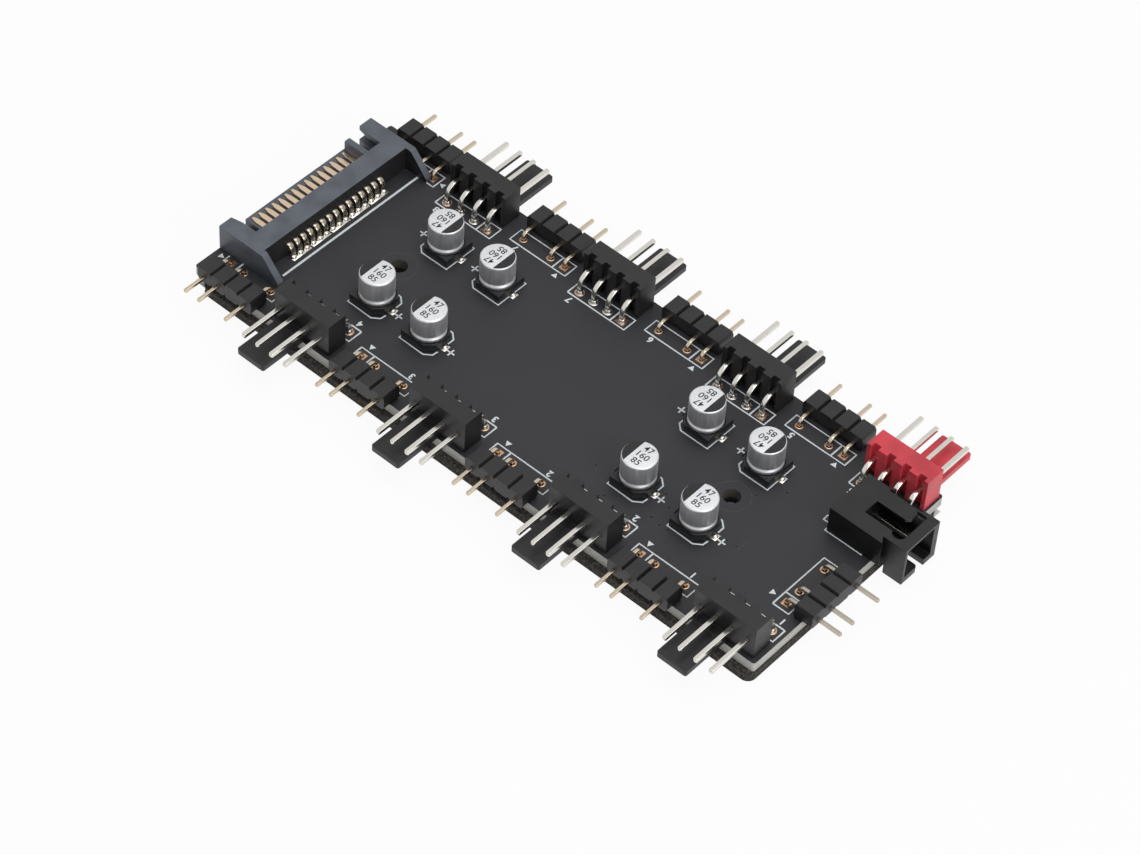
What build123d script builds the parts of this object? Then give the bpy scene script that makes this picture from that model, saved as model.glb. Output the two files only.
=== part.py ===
from build123d import *
import os

os.makedirs("parts", exist_ok=True)

# The origin is the middle of the foam pad's support face under the board's centre.
# +X runs along the board away from the power plug, +Y to the far row of headers, +Z up.

# Circuit board with two mounting holes on its long centre line
board_length = 99.5
board_width = 38.7
board_thickness = 1.6
board_corner_radius = 0.4
mount_hole_diameter = 2.5
mount_hole_spacing = 59.6

# Foam pad, stuck under the board a little out of line with it
pad_thickness = 1.5
pad_corner_radius = 1.3
pad_end_overhang = 0.2
pad_end_shortfall = 1.9
pad_side_overhang = 0.9
pad_hole_clearance = 0.4

# Fits shared by every connector
pin_fit = 0.02
lead_hole_clearance = 0.06
lead_trim = 0.15
rest_gap = 0.02

# Header rows: four per long edge of each kind, evenly spaced
pin_pitch = 2.54
positions = 4
headers_per_row = 4
row_end_margin = 0.78
fan_row_y = 13.6
fan_far_shift = -0.04
fan_near_shift = 0.33
light_row_y = 15.68
light_far_setback = 7.81
light_near_setback = 7.04

# Fan header: combed body with a polarising plate under its pins
fan_pin_side = 0.64
fan_pin_height = 2.85
fan_pin_reach = 12.45
fan_pin_bend = 1.5
fan_pin_tip = 0.2
fan_body_setback = 1.85
fan_body_depth = 3.3
fan_body_height = 5.5
fan_end_relief = 0.03
fan_slot_width = 1.1
fan_slot_depth = 0.75
plate_width = 4.9
plate_thickness = 1.0
plate_length = 8.2
plate_lift = 0.1
plate_end_margin = 0.2
plate_corner_radius = 0.35
plate_step_length = 1.3
plate_step_rise = 0.25

# Light header and input header: low notched strip with three pins in four places
light_pin_side = 0.5
light_pin_height = 1.05
light_pin_reach = 8.82
light_pin_bend = 0.75
light_pin_tip = 0.15
strip_setback = 2.05
strip_depth = 3.0
strip_height = 2.5
strip_notch_width = 0.56
strip_notch_depth = 0.5
input_setback = 3.37
input_y = -5.01

# Power plug: wings, cross bar, contact tongue, key rib and two gussets
plug_overhang = 0.1
plug_near_y = -14.55
plug_top = 4.14
wing_length = 7.65
wing_width = 2.75
wing_taper_length = 1.9
wing_taper_depth = 0.4
far_wing_plate = 0.8
far_wing_wall = 0.8
far_wing_floor = 1.6
near_notch_width = 2.1
far_notch_width = 2.3
bar_depth = 3.3
tongue_setback = 0.15
tongue_thickness = 1.2
tongue_top = 2.05
key_rib_width = 0.95
key_rib_setback = 0.5
gusset_thickness = 1.05
gusset_elbow_length = 0.6
gusset_slope_length = 3.0
gusset_toe_height = 0.7
far_gusset_setback = 0.4

# Power contacts: flat blades on the tongue with arched legs behind the bar
contact_count = 15
contact_pitch = 1.27
contact_near_margin = 0.83
contact_far_margin = 1.39
contact_width = 0.8
contact_thickness = 0.2
contact_outer_gap = 0.5
contact_tip = 0.2
contact_taper = 1.0
leg_setback = 8.55
leg_bend = 1.1

# Latched header: body on the board's end, mouth past it and deeper, latch arm in its top
latch_overhang = 4.4
latch_length = 11.75
latch_near_y = 4.05
latch_width = 8.1
latch_height = 4.6
latch_block = 3.7
body_floor = 0.6
mouth_length = 3.1
mouth_drop = 2.1
mouth_recess = 1.05
mouth_slant = 0.7
top_wall = 0.55
near_wall = 0.55
far_wall = 1.1
floor_wall = 1.1
window_near_y = 6.65
window_far_inset = 0.7
window_length = 6.5
window_bulge_radius = 1.0
window_side_radius = 0.3
latch_arm_width = 2.4
latch_arm_length = 5.2
latch_arm_inset = 0.5
latch_arm_gap = 0.25
latch_arm_nose = 0.6
slit_width = 1.3
slit_near_y = 8.4
slit_corner_radius = 0.5
latch_pins = 2
latch_pin_height = 1.4
latch_pin_bend = 0.9
latch_pin_inset = 1.6
latch_tail_inset = 1.5

# Electrolytic capacitors: columns of two, one each side of the centre line
capacitor_columns_x = (-27.5, -17.9, 19.4, 29.7)
capacitor_row_y = 6.8
can_diameter = 5.0
can_height = 4.4
can_edge_bevel = 0.3
crimp_height = 0.95
crimp_width = 0.8
crimp_depth = 0.22
base_side = 5.3
base_height = 1.1
base_corner = 1.2
base_corner_rise = 0.25
lead_width = 0.8
lead_thickness = 0.2
lead_length = 0.6

# Heights and places that follow from the sizes above
board_bottom = pad_thickness
board_top = board_bottom + board_thickness
pin_foot = board_thickness - lead_trim
row_length = positions * pin_pitch
first_place = -(positions - 1) * pin_pitch / 2
empty_place = positions // 2 - 1
light_pin_places = [place for place in range(positions) if place != empty_place]
pad_length = board_length - pad_end_shortfall + pad_end_overhang
pad_width = board_width
pad_centre_x = board_length / 2 + pad_end_overhang - pad_length / 2
pad_centre_y = -board_width / 2 - pad_side_overhang + pad_width / 2
header_spacing = (board_length - row_end_margin) / headers_per_row
light_far_start_x = -board_length / 2 + light_far_setback
light_near_start_x = -board_length / 2 + light_near_setback
fan_far_start_x = light_far_start_x + header_spacing / 2 + fan_far_shift
fan_near_start_x = light_near_start_x + header_spacing / 2 + fan_near_shift
input_x = board_length / 2 - input_setback
plug_outer_x = -board_length / 2 - plug_overhang
bar_rear_x = plug_outer_x + wing_length
tongue_outer_x = plug_outer_x + tongue_setback
leg_x = plug_outer_x + leg_setback
contact_first_y = plug_near_y + wing_width + near_notch_width + contact_near_margin
tongue_near_y = contact_first_y - contact_near_margin
tongue_far_y = contact_first_y + (contact_count - 1) * contact_pitch + contact_far_margin
plug_far_y = tongue_far_y + far_notch_width + wing_width
latch_rear_x = board_length / 2 + latch_overhang - latch_length


def export(shape, name):
    """Write one named piece."""
    export_step(shape, f"parts/{name}.step")


def block(x, y, z):
    """A box between two corners given as (low, high) pairs."""
    size = (x[1] - x[0], y[1] - y[0], z[1] - z[0])
    return Pos(x[0], y[0], z[0]) * Box(*size, align=Align.MIN)


def place_x(place):
    """Distance along a header from its middle to a pin's place."""
    return first_place + place * pin_pitch


def bent_pin(side, height, reach, bend, tip, foot):
    """A square pin that rises from the board at the origin, bends and points along +Y."""
    half = side / 2
    outline = Polyline(
        [
            (-half, -foot),
            (-half, height + half),
            (reach, height + half),
            (reach, height - half),
            (half, height - half),
            (half, -foot),
        ],
        close=True,
    )
    profile = make_face(outline)
    outer_corner = profile.vertices().sort_by_distance((-half, height + half))[0]
    profile = fillet(outer_corner, bend + half)
    inner_corner = profile.vertices().sort_by_distance((half, height - half))[0]
    profile = fillet(inner_corner, bend - half)
    pin = extrude(Plane.YZ * profile, half, both=True)
    return chamfer(pin.faces().sort_by(Axis.Y)[-1].edges(), tip)


def pin_passage(side, height, start, length):
    """The square hole that a pin passes through in a header's body."""
    opening = side + 2 * pin_fit
    return Pos(0, start + length / 2, height) * Box(opening, length, opening)


def row_places():
    """Name number and location of each header in both rows, for a row's own values."""
    far = [headers_per_row * 2 - step for step in range(headers_per_row)]
    near = [headers_per_row - step for step in range(headers_per_row)]
    return near, far


def headers(start_near, start_far, row_y):
    """Locations of the eight headers, keyed by their number on the board."""
    near, far = row_places()
    spots = {}
    for step in range(headers_per_row):
        near_x = start_near + step * header_spacing
        far_x = start_far + step * header_spacing
        spots[near[step]] = Pos(near_x, -row_y, board_top) * Rot(0, 0, 180)
        spots[far[step]] = Pos(far_x, row_y, board_top)
    return spots


def fan_body():
    """Combed body with its plate, pins pointing along +Y, standing on the board."""
    rear = fan_body_setback
    front = rear + fan_body_depth
    half = row_length / 2 - fan_end_relief
    body = block((-half, half), (rear, front), (rest_gap, fan_body_height))
    for place in range(positions):
        x = place_x(place)
        slot_x = (x - fan_slot_width / 2, x + fan_slot_width / 2)
        body -= block(slot_x, (rear, rear + fan_slot_depth), (0, fan_body_height))
    plate_right = place_x(positions - 1) + plate_end_margin
    plate_x = (plate_right - plate_width, plate_right)
    plate = block(plate_x, (front, front + plate_length), (plate_lift, plate_lift + plate_thickness))
    outer = plate.edges().filter_by(Axis.Z).group_by(Axis.Y)[-1]
    plate = fillet(outer, plate_corner_radius)
    step_z = (plate_lift, plate_lift + plate_thickness + plate_step_rise)
    body += plate + block(plate_x, (front, front + plate_step_length), step_z)
    for place in range(positions):
        hole = pin_passage(fan_pin_side, fan_pin_height, rear, fan_body_depth)
        body -= Pos(place_x(place), 0, 0) * hole
    return body


def fan_pins():
    """The four pins of a fan header."""
    side = fan_pin_side
    pin = bent_pin(side, fan_pin_height, fan_pin_reach, fan_pin_bend, fan_pin_tip, pin_foot)
    return [Pos(place_x(place), 0, 0) * pin for place in range(positions)]


def notched_strip():
    """Light header housing: a run of cells parted by V notches, above and below."""
    rear = strip_setback
    half_notch = strip_notch_width / 2
    low = rest_gap
    high = strip_height
    top = []
    bottom = []
    for cell in range(positions):
        left = -row_length / 2 + cell * pin_pitch
        right = left + pin_pitch
        top += [(left, high - strip_notch_depth), (left + half_notch, high), (right - half_notch, high)]
        bottom += [(left, low + strip_notch_depth), (left + half_notch, low), (right - half_notch, low)]
    end = row_length / 2
    top.append((end, high - strip_notch_depth))
    bottom.append((end, low + strip_notch_depth))
    section = make_face(Polyline(top + bottom[::-1], close=True))
    strip = Pos(0, rear + strip_depth, 0) * extrude(Plane.XZ * section, strip_depth)
    for place in light_pin_places:
        hole = pin_passage(light_pin_side, light_pin_height, rear, strip_depth)
        strip -= Pos(place_x(place), 0, 0) * hole
    return strip


def light_pins():
    """The three pins of a light header, with one place left empty."""
    side = light_pin_side
    pin = bent_pin(side, light_pin_height, light_pin_reach, light_pin_bend, light_pin_tip, pin_foot)
    return [Pos(place_x(place), 0, 0) * pin for place in light_pin_places]


def lead_hole(along_x, along_y):
    """The hole that a soldered lead of this section keeps in the board."""
    size = (along_x + 2 * lead_hole_clearance, along_y + 2 * lead_hole_clearance, board_thickness)
    return Box(*size, align=(Align.CENTER, Align.CENTER, Align.MAX))


def mount_holes(radius, height):
    """The two round holes on the long centre line, from z = 0 up."""
    drill = Cylinder(radius, height, align=(Align.CENTER, Align.CENTER, Align.MIN))
    offset = mount_hole_spacing / 2
    return [Pos(-offset, 0, 0) * drill, Pos(offset, 0, 0) * drill]


def contact_rows():
    """The y of each power contact."""
    return [contact_first_y + step * contact_pitch for step in range(contact_count)]


def latch_pin_rows():
    """The y of each pin in the latched header."""
    near_inner_y = latch_near_y + mouth_recess + near_wall
    far_inner_y = latch_near_y + latch_width - far_wall
    first = (near_inner_y + far_inner_y - (latch_pins - 1) * pin_pitch) / 2
    return [first + step * pin_pitch for step in range(latch_pins)]


def circuit_board():
    """Board with mounting holes and a hole for every lead."""
    outline = RectangleRounded(board_length, board_width, board_corner_radius)
    board = Pos(0, 0, board_bottom) * extrude(outline, board_thickness)
    drills = mount_holes(mount_hole_diameter / 2, board_thickness)
    cuts = [Pos(0, 0, board_bottom) * drill for drill in drills]
    fan_hole = lead_hole(fan_pin_side, fan_pin_side)
    light_hole = lead_hole(light_pin_side, light_pin_side)
    for spot in headers(fan_near_start_x, fan_far_start_x, fan_row_y).values():
        cuts += [spot * Pos(place_x(place), 0, 0) * fan_hole for place in range(positions)]
    for spot in headers(light_near_start_x, light_far_start_x, light_row_y).values():
        cuts += [spot * Pos(place_x(place), 0, 0) * light_hole for place in light_pin_places]
    cuts += [input_spot() * Pos(place_x(place), 0, 0) * light_hole for place in light_pin_places]
    leg_hole = lead_hole(contact_thickness, contact_width)
    cuts += [Pos(leg_x, y, board_top) * leg_hole for y in contact_rows()]
    cuts += [Pos(latch_rear_x + latch_tail_inset, y, board_top) * fan_hole for y in latch_pin_rows()]
    return board - cuts


def foam_pad():
    """Foam pad with clear holes under the board's mounting holes."""
    outline = RectangleRounded(pad_length, pad_width, pad_corner_radius)
    pad = Pos(pad_centre_x, pad_centre_y, 0) * extrude(outline, pad_thickness)
    return pad - mount_holes(mount_hole_diameter / 2 + pad_hole_clearance, pad_thickness)


def input_spot():
    """Location of the input header, whose pins point along +X over the board's end."""
    return Pos(input_x, input_y, board_top) * Rot(0, 0, -90)


def plug_wing(outer_y, inward):
    """One guide wing, from the bar's rear out to the board's end, its nose tapered inside."""
    inner_y = outer_y + inward * wing_width
    plan = Polyline(
        [
            (bar_rear_x, outer_y),
            (plug_outer_x, outer_y),
            (plug_outer_x, inner_y - inward * wing_taper_depth),
            (plug_outer_x + wing_taper_length, inner_y),
            (bar_rear_x, inner_y),
        ],
        close=True,
    )
    return Pos(0, 0, rest_gap) * extrude(make_face(plan), plug_top - rest_gap)


def plug_gusset(near_y, setback):
    """Thin web that slopes from the bar's top down to the board."""
    elbow_x = bar_rear_x + gusset_elbow_length + setback
    toe_x = elbow_x + gusset_slope_length
    side = Polyline(
        [
            (bar_rear_x, rest_gap),
            (bar_rear_x, plug_top),
            (elbow_x, plug_top),
            (toe_x, gusset_toe_height),
            (toe_x, rest_gap),
        ],
        close=True,
    )
    web = extrude(Plane.XZ * make_face(side), -gusset_thickness)
    elbow = web.edges().filter_by(Axis.Y).sort_by_distance((elbow_x, 0, plug_top))[0]
    return Pos(0, near_y, 0) * fillet(elbow, gusset_elbow_length)


def contact_blank(width, clearance):
    """Side outline of a power contact: blade on the tongue, arch and leg, grown by a fit."""
    low = tongue_top - clearance
    high = tongue_top + contact_thickness + clearance
    outer_x = tongue_outer_x + contact_outer_gap
    half = contact_thickness / 2 + clearance
    outline = Polyline(
        [
            (outer_x, low),
            (outer_x, high - contact_thickness / 2),
            (outer_x + contact_tip, high),
            (leg_x + half, high),
            (leg_x + half, -pin_foot),
            (leg_x - half, -pin_foot),
            (leg_x - half, low),
        ],
        close=True,
    )
    profile = make_face(outline)
    outer_corner = profile.vertices().sort_by_distance((leg_x + half, high))[0]
    profile = fillet(outer_corner, leg_bend + half)
    inner_corner = profile.vertices().sort_by_distance((leg_x - half, low))[0]
    profile = fillet(inner_corner, leg_bend - half)
    return extrude(Plane.XZ * profile, width / 2 + clearance, both=True)


def power_contacts():
    """Fifteen contacts, each one strip from its blade to its leg."""
    blank = contact_blank(contact_width, 0)
    outer_x = tongue_outer_x + contact_outer_gap
    half = contact_width / 2
    plan = Polyline(
        [
            (outer_x, -half / 3),
            (outer_x + contact_taper, -half),
            (leg_x + contact_width, -half),
            (leg_x + contact_width, half),
            (outer_x + contact_taper, half),
            (outer_x, half / 3),
        ],
        close=True,
    )
    strip = blank & extrude(make_face(plan), board_thickness + plug_top, both=True)
    return [Pos(0, y, board_top) * strip for y in contact_rows()]


def power_plug():
    """Power plug housing, one moulding."""
    bar_front = bar_rear_x - bar_depth
    housing = plug_wing(plug_near_y, 1)
    housing += plug_wing(plug_far_y, -1)
    slot_y = (plug_far_y - wing_width, plug_far_y - far_wing_wall)
    housing -= block((plug_outer_x, bar_front), slot_y, (far_wing_floor, plug_top - far_wing_plate))
    housing += block((bar_front, bar_rear_x), (plug_near_y, plug_far_y), (rest_gap, plug_top))
    housing += plug_gusset(plug_near_y, 0)
    housing += plug_gusset(plug_far_y - gusset_thickness, far_gusset_setback)
    tongue_z = (tongue_top - tongue_thickness, tongue_top)
    housing += block((tongue_outer_x, bar_front), (tongue_near_y, tongue_far_y), tongue_z)
    rib_x = (tongue_outer_x + key_rib_setback, bar_front)
    rib_y = (tongue_far_y - key_rib_width, tongue_far_y)
    housing += block(rib_x, rib_y, (tongue_top - tongue_thickness, plug_top))
    slot = contact_blank(contact_width, pin_fit)
    housing -= [Pos(0, y, 0) * slot for y in contact_rows()]
    return Pos(0, 0, board_top) * housing


def mouth_shell(front_x, far_y):
    """The part of the shroud past the board's end, deeper and narrower than the body."""
    rear_x = front_x - mouth_length
    near_y = latch_near_y + mouth_recess
    shell = block((rear_x, front_x), (near_y, far_y), (-mouth_drop, latch_height))
    slit_y = (slit_near_y, slit_near_y + slit_width)
    floor_top = floor_wall - mouth_drop
    bore_y = (near_y + near_wall, far_y - far_wall)
    shell -= block((rear_x, front_x), bore_y, (floor_top, latch_height - top_wall))
    shell -= block((rear_x, front_x), slit_y, (-mouth_drop, floor_top))
    slit_corner = (front_x, slit_near_y, floor_top - floor_wall / 2)
    return fillet(shell.edges().filter_by(Axis.Z).sort_by_distance(slit_corner)[0], slit_corner_radius)


def latch_window(rear_x, far_y):
    """What is cut from the top wall: a rounded window and the slots round the latch arm."""
    front_x = rear_x + window_length
    window_far_y = far_y - window_far_inset
    wall_z = (latch_height - top_wall, latch_height)
    window = block((rear_x, front_x), (window_near_y, window_far_y), wall_z)
    far_corner = (front_x, window_far_y, latch_height)
    window = fillet(window.edges().filter_by(Axis.Z).sort_by_distance(far_corner)[0], window_side_radius)
    bulge = Cylinder(window_bulge_radius, top_wall, align=(Align.CENTER, Align.CENTER, Align.MAX))
    window += Pos(front_x - window_bulge_radius, window_near_y + window_side_radius, latch_height) * bulge
    arm_front_x = rear_x + latch_arm_length
    arm_far_y = far_y - latch_arm_inset
    window += block((rear_x, arm_front_x + latch_arm_gap), (arm_far_y, far_y), wall_z)
    arm = block((rear_x, arm_front_x), (arm_far_y - latch_arm_width, arm_far_y), wall_z)
    nose = arm.edges().filter_by(Axis.Z).group_by(Axis.X)[-1]
    return window - chamfer(nose, latch_arm_nose)


def shroud_body(mouth_x, far_y):
    """The part of the shroud that stands on the board, its near wall ending on a slant."""
    near_y = latch_near_y + mouth_recess
    plan = Polyline(
        [
            (latch_rear_x, latch_near_y),
            (mouth_x, latch_near_y),
            (mouth_x - mouth_slant, near_y),
            (mouth_x, near_y),
            (mouth_x, far_y),
            (latch_rear_x, far_y),
        ],
        close=True,
    )
    body = Pos(0, 0, rest_gap) * extrude(make_face(plan), latch_height - rest_gap)
    cavity_x = (latch_rear_x + latch_block, mouth_x)
    cavity_y = (near_y + near_wall, far_y - far_wall)
    return body - block(cavity_x, cavity_y, (body_floor, latch_height - top_wall))


def latch_shroud():
    """Latched header housing: body, deeper mouth, windowed top and a latch arm."""
    front_x = latch_rear_x + latch_length
    far_y = latch_near_y + latch_width
    shroud = shroud_body(front_x - mouth_length, far_y) + mouth_shell(front_x, far_y)
    shroud -= latch_window(latch_rear_x + latch_block, far_y)
    for y in latch_pin_rows():
        shroud -= Pos(0, y, 0) * latch_pin(pin_fit)
    return Pos(0, 0, board_top) * shroud


def latch_pin(clearance):
    """Pin of the latched header: along +X in the cavity, then down inside the rear block."""
    tail_x = latch_rear_x + latch_tail_inset
    reach = latch_length - latch_tail_inset - latch_pin_inset + clearance
    side = fan_pin_side + 2 * clearance
    pin = bent_pin(side, latch_pin_height, reach, latch_pin_bend, fan_pin_tip, pin_foot)
    return Pos(tail_x, 0, 0) * Rot(0, 0, -90) * pin


def capacitor_can():
    """Rolled aluminium can with a crimp groove, standing on its base."""
    radius = can_diameter / 2
    side = Polyline([(0, 0), (radius, 0), (radius, can_height), (0, can_height)], close=True)
    profile = make_face(side)
    rim = profile.vertices().sort_by_distance((radius, can_height))[0]
    profile = chamfer(rim, can_edge_bevel)
    groove = Polyline(
        [
            (radius, crimp_height - crimp_width / 2),
            (radius - crimp_depth, crimp_height),
            (radius, crimp_height + crimp_width / 2),
        ],
        close=True,
    )
    can = revolve(Plane.XZ * (profile - make_face(groove)), Axis.Z)
    return Pos(0, 0, base_height + rest_gap) * can


def capacitor_base():
    """Moulded base with two cut corners on the positive side and four raised corners."""
    half = base_side / 2
    cut = base_corner
    outline = Polyline(
        [
            (-half, -half),
            (half - cut, -half),
            (half, -half + cut),
            (half, half - cut),
            (half - cut, half),
            (-half, half),
        ],
        close=True,
    )
    plate = extrude(make_face(outline), base_height + base_corner_rise)
    seat_radius = can_diameter / 2 + base_corner_rise / 2
    seat = Cylinder(seat_radius, base_corner_rise, align=(Align.CENTER, Align.CENTER, Align.MIN))
    plate -= Pos(0, 0, base_height) * seat
    for turn in (0, 180):
        plate -= Rot(0, 0, turn) * lead_box(pin_fit)
    return Pos(0, 0, rest_gap) * plate


def lead_box(clearance):
    """Flat lead that leaves the base along +X on the board."""
    inner = base_side / 2 - lead_width
    outer = base_side / 2 + lead_length
    across = lead_width / 2 + clearance
    return block((inner - clearance, outer), (-across, across), (0, lead_thickness + clearance))


def capacitor_spots():
    """Location of each capacitor, keyed by its number; the far row is turned half round."""
    spots = {}
    columns = len(capacitor_columns_x)
    for step, x in enumerate(capacitor_columns_x):
        spots[columns - step] = Pos(x, -capacitor_row_y, board_top)
        spots[2 * columns - step] = Pos(x, capacitor_row_y, board_top) * Rot(0, 0, 180)
    return spots


export(circuit_board(), "circuit_board")
export(foam_pad(), "foam_pad")
export(power_plug(), "power_plug_housing")
export(Compound(children=power_contacts()), "power_plug_contacts")

fan_shape = fan_body()
fan_pin_set = fan_pins()
for number, spot in headers(fan_near_start_x, fan_far_start_x, fan_row_y).items():
    export(spot * fan_shape, f"fan_header_{number}")
    export(Compound(children=[spot * pin for pin in fan_pin_set]), f"fan_header_pins_{number}")

strip_shape = notched_strip()
light_pin_set = light_pins()
for number, spot in headers(light_near_start_x, light_far_start_x, light_row_y).items():
    export(spot * strip_shape, f"light_header_{number}")
    export(Compound(children=[spot * pin for pin in light_pin_set]), f"light_header_pins_{number}")

export(input_spot() * strip_shape, "input_header")
export(Compound(children=[input_spot() * pin for pin in light_pin_set]), "input_header_pins")

export(latch_shroud(), "latch_header")
latch_pin_set = [Pos(0, y, board_top) * latch_pin(0) for y in latch_pin_rows()]
export(Compound(children=latch_pin_set), "latch_header_pins")

can_shape = capacitor_can()
base_shape = capacitor_base()
lead_set = []
for number, spot in capacitor_spots().items():
    export(spot * can_shape, f"capacitor_can_{number}")
    export(spot * base_shape, f"capacitor_base_{number}")
    for turn in (0, 180):
        lead_set.append(spot * Rot(0, 0, turn) * lead_box(0))
export(Compound(children=lead_set), "capacitor_leads")
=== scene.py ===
import math

import bmesh
import bpy
from bpy.props import FloatProperty, FloatVectorProperty, PointerProperty, StringProperty
from bpy.types import Operator, Panel, PropertyGroup
from mathutils import Matrix, Vector, noise


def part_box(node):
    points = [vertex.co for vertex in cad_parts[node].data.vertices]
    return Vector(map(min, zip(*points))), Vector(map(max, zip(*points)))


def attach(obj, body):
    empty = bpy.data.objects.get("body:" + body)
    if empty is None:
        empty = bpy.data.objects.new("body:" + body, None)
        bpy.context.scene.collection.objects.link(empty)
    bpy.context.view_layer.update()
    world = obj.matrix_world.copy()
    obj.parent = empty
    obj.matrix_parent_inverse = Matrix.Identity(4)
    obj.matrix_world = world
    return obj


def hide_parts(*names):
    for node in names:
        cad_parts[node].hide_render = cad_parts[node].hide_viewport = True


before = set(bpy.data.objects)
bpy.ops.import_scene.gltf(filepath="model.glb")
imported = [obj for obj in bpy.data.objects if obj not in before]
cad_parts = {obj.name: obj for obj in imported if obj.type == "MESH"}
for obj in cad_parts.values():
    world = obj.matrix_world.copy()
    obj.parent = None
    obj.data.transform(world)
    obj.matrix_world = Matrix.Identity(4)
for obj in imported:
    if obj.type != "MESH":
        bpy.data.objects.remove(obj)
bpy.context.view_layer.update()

bl_info = {
    "name": "Fan and Light Hub",
    "version": (1, 0, 0),
    "blender": (4, 5, 0),
    "location": "View3D > Sidebar > Fan Hub",
    "description": "Dresses the packed hub board with its finishes, print, solder and stage",
    "category": "Object",
}

MM = 0.001
BOARD_LOW, BOARD_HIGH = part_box("circuit_board")
BOARD_TOP = BOARD_HIGH.z
HEADERS_PER_ROW = 4
NEAR_ROW = range(1, HEADERS_PER_ROW + 1)
NUMBERS = range(1, 2 * HEADERS_PER_ROW + 1)  # of the headers of both kinds and of the capacitors
PITCH = 2.54 * MM
PLACES = (-1.5 * PITCH, -0.5 * PITCH, 0.5 * PITCH, 1.5 * PITCH)
FIRST_PLACE = PLACES[-1]
LIGHT_PLACES = (PLACES[0], PLACES[2], PLACES[3])
FIRST_EDGE = 2.54  # the line between the first pin and the next, in millimetres like all printed outlines
PIN_HALF_SIDE = {"fan": 0.32 * MM, "light": 0.25 * MM}
HALF_TURN = Matrix.Rotation(math.pi, 4, "Z")


def linear(code):
    """sRGB hex to the linear colour that shader sockets take."""
    channels = [int(code[start : start + 2], 16) / 255 for start in (1, 3, 5)]
    curved = [((value + 0.055) / 1.055) ** 2.4 if value > 0.04045 else value / 12.92 for value in channels]
    return (*curved, 1.0)


def colour(name, description, code):
    """A colour that the panel shows, given as sRGB hex."""
    default = linear(code)
    return FloatVectorProperty(name=name, description=description, default=default, size=4, subtype="COLOR")


def length(name, description, millimetres):
    """A size that the panel shows, given in millimetres."""
    default = millimetres * MM
    return FloatProperty(name=name, description=description, default=default, precision=5, unit="LENGTH")


def amount(name, description, default, unit="NONE"):
    """A plain value that the panel shows."""
    return FloatProperty(name=name, description=description, default=default, unit=unit)


def plain_number(name, description, default):
    """A number that is printed, and that the panel shows."""
    return StringProperty(name=name, description=description, default=default)


class BoardLook(PropertyGroup):
    """Board, print, copper and pad."""

    mask: colour("Solder mask", "Matt black lacquer over the copper", "#252528")
    mask_pale: colour("Solder mask, pale", "The lacquer where it lies thin over copper", "#2c2c31")
    laminate: colour("Laminate", "Routed glass fibre edge of the board", "#c4c4bf")
    laminate_dark: colour("Laminate, dark", "Resin between the glass layers of the edge", "#a5a49c")
    ink: colour("Board ink", "White silkscreen ink", "#eef5f8")
    copper: colour("Copper", "Bare plated copper of the pads", "#d8b294")
    solder: colour("Solder", "Bright tin solder", "#dedad2")
    # Painted shade: the near black discs in the pad holes and vias stand for the shade inside the holes.
    via: colour("Filled hole", "Dark resin and flux in vias and pad holes", "#0d0b09")
    bore: colour("Bore", "Inside of a drilled hole", "#4e4b45")
    foam: colour("Foam", "Black foam of the pad", "#2b2a29")
    foam_pale: colour("Foam, pale", "Cell walls that catch the light", "#6a6157")
    trace: colour("Covered copper", "Lacquer over a copper trace, a little paler", "#3c3a3a")
    ink_width: length("Ink line width", "Width of a printed line", 0.27)
    bold_width: length("Bold line width", "Width of the line beside the plug", 0.4)
    ink_height: length("Ink height", "How far the print stands above the lacquer", 0.02)
    pad_radius: length("Pad radius", "Outer radius of a light header's pad ring", 0.62)
    fan_pad_radius: length("Fan pad radius", "Outer radius of a fan header's pad ring", 0.76)
    solder_radius: length("Solder radius", "Radius of the solder cone round a fan pin", 0.58)
    pad_height: length("Pad height", "How far a copper pad stands above the board", 0.03)
    foam_cell: length("Foam cell", "Size of the cells that show on the foam's cut edge", 0.35)
    figure_size: length("Figure size", "Size of the plain numbers beside the headers", 1.45)
    figure_weight: amount("Figure weight", "Extra width of the strokes, as a share of the size", 0.03)


class ConnectorLook(PropertyGroup):
    """Headers, power plug and their metal."""

    black: colour("Black moulding", "Nylon of the headers", "#1b1b1d")
    shroud: colour("Shroud moulding", "Nylon of the latched header", "#0c0c0d")
    red: colour("Red moulding", "Nylon of the first header in the far row", "#d3404c")
    grey: colour("Grey moulding", "Nylon of the power plug", "#5a5f68")
    tin: colour("Tin", "Bright tin plating of the fan pins", "#e6e3dc")
    input_tin: colour("Input tin", "Duller tin plating of the input pins", "#bfb6a8")
    # Painted shade: the colour of thin strips on the tongue's top that stand for the shade in its grooves.
    groove: colour("Groove", "Shaded grooves between the power contacts", "#2a241f")
    gold: colour("Pin gold", "Pale gold plating of the light pins", "#d9cab4")
    contact: colour("Contact gold", "Thin gold plating of the power contacts", "#e3cbb0")
    contact_tin: colour("Contact tin", "Plating of the power contacts' arches and legs", "#a89f90")
    edge: length("Moulded edge", "Radius of the soft edges that a mould leaves", 0.07)
    low_edge: length("Low strip edge", "The same on the low strips of the light headers", 0.049)
    pin_edge: length("Pin edge", "Radius of a drawn pin's edges", 0.06)
    strip_edge: length("Strip edge", "Radius of the edges of contacts and leads cut from strip", 0.03)


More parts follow.
